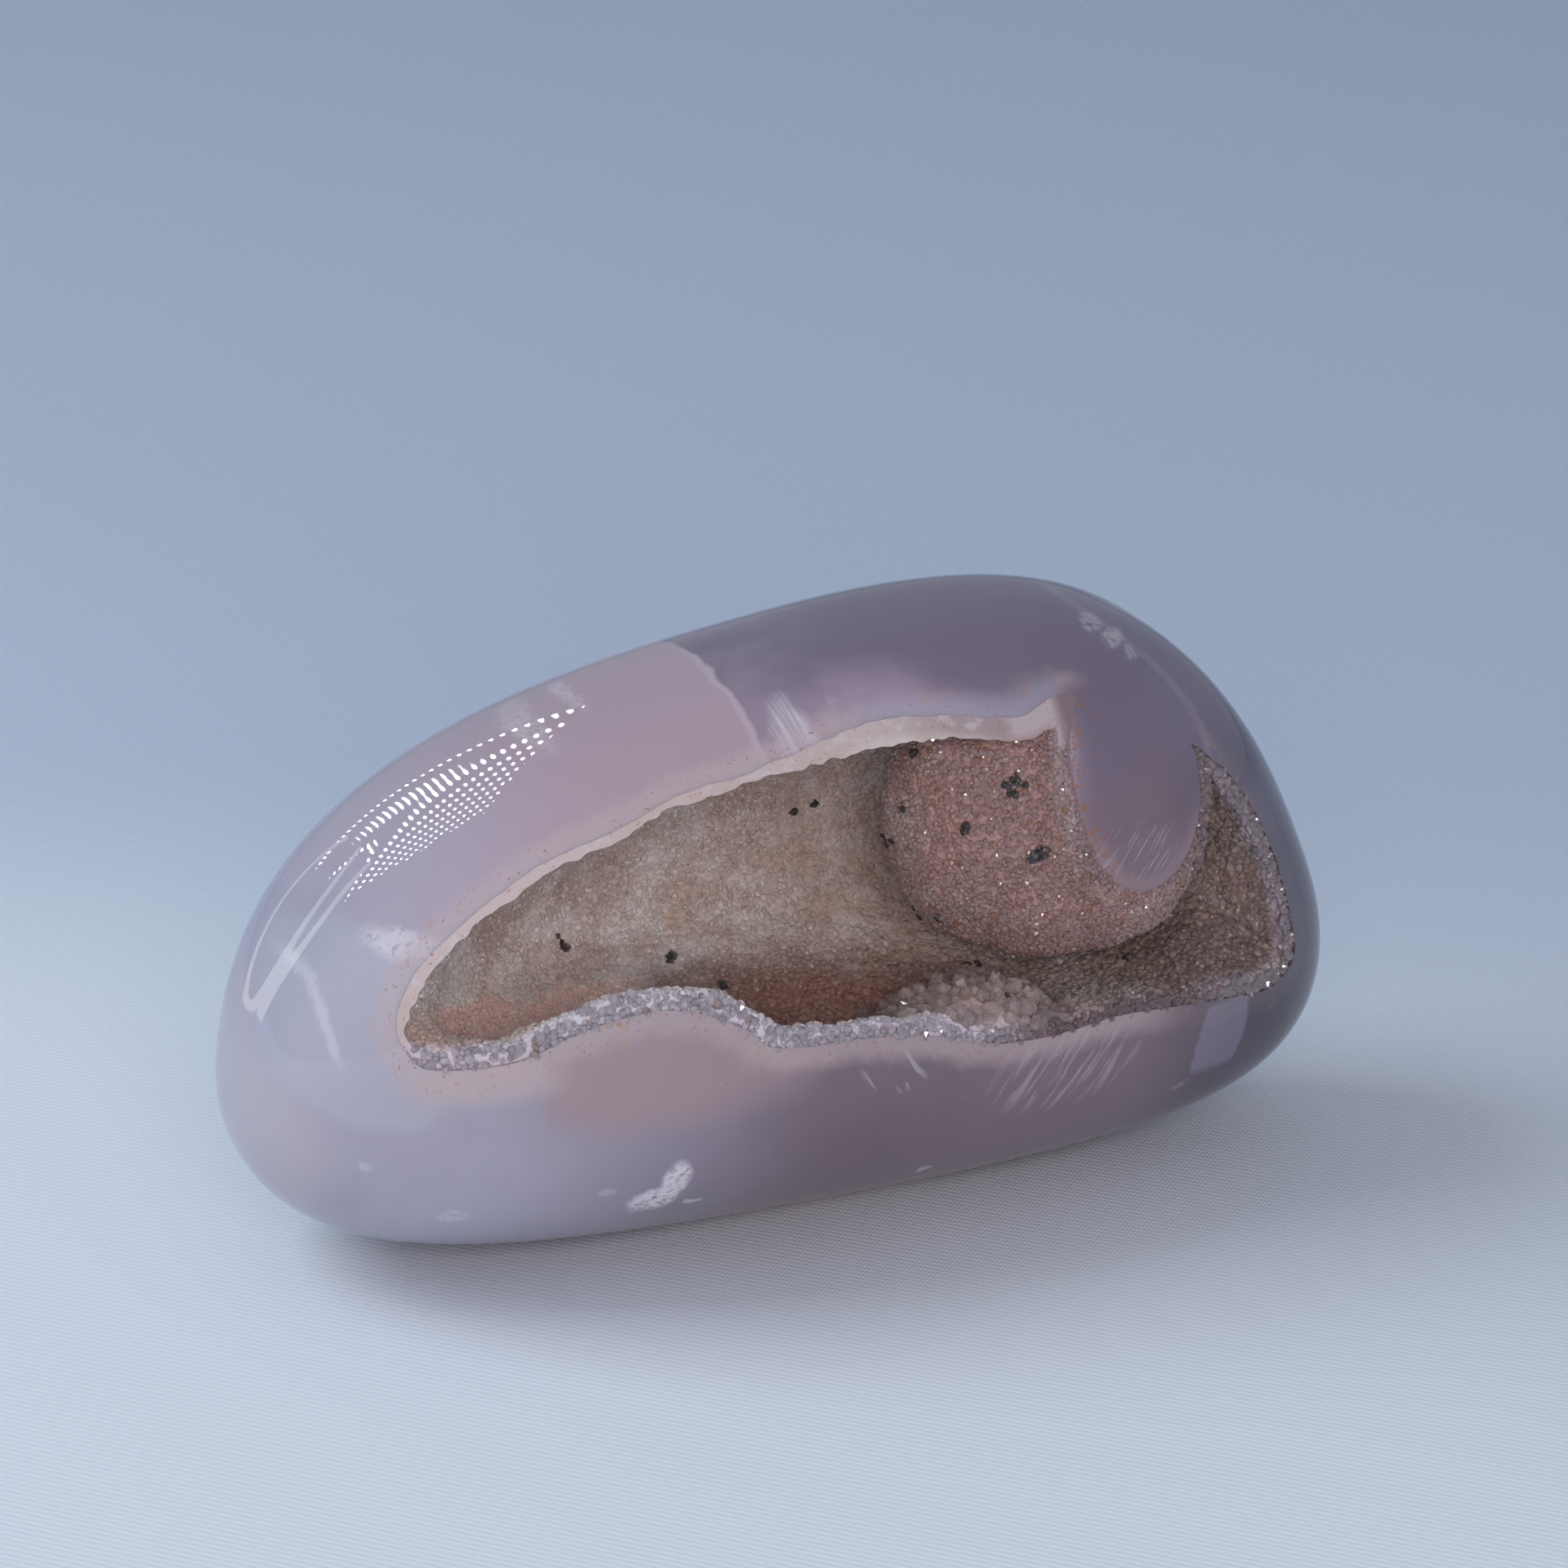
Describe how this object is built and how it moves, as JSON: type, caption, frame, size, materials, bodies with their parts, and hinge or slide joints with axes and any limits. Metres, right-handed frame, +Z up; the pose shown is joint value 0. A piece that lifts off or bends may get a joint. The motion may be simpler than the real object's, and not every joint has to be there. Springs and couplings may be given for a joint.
{
  "type": "druzy geode",
  "caption": "Tumbled and polished agate pebble with a long mouth in one side that opens into a hollow lined with fine quartz points.",
  "frame": {"origin": "on the small flat spot that the stone rests on, under the middle of its length and depth", "axes": "+Z up, +X towards the taller end along the length, -Y out of the mouth of the hollow"},
  "size_m": [0.0854, 0.0392, 0.0445],
  "materials": {
    "agate": "polished",
    "druse": "satin"
  },
  "bodies": {
    "root": {"agate_stone": "agate", "druzy_crust": "druse"}
  },
  "joints": []
}
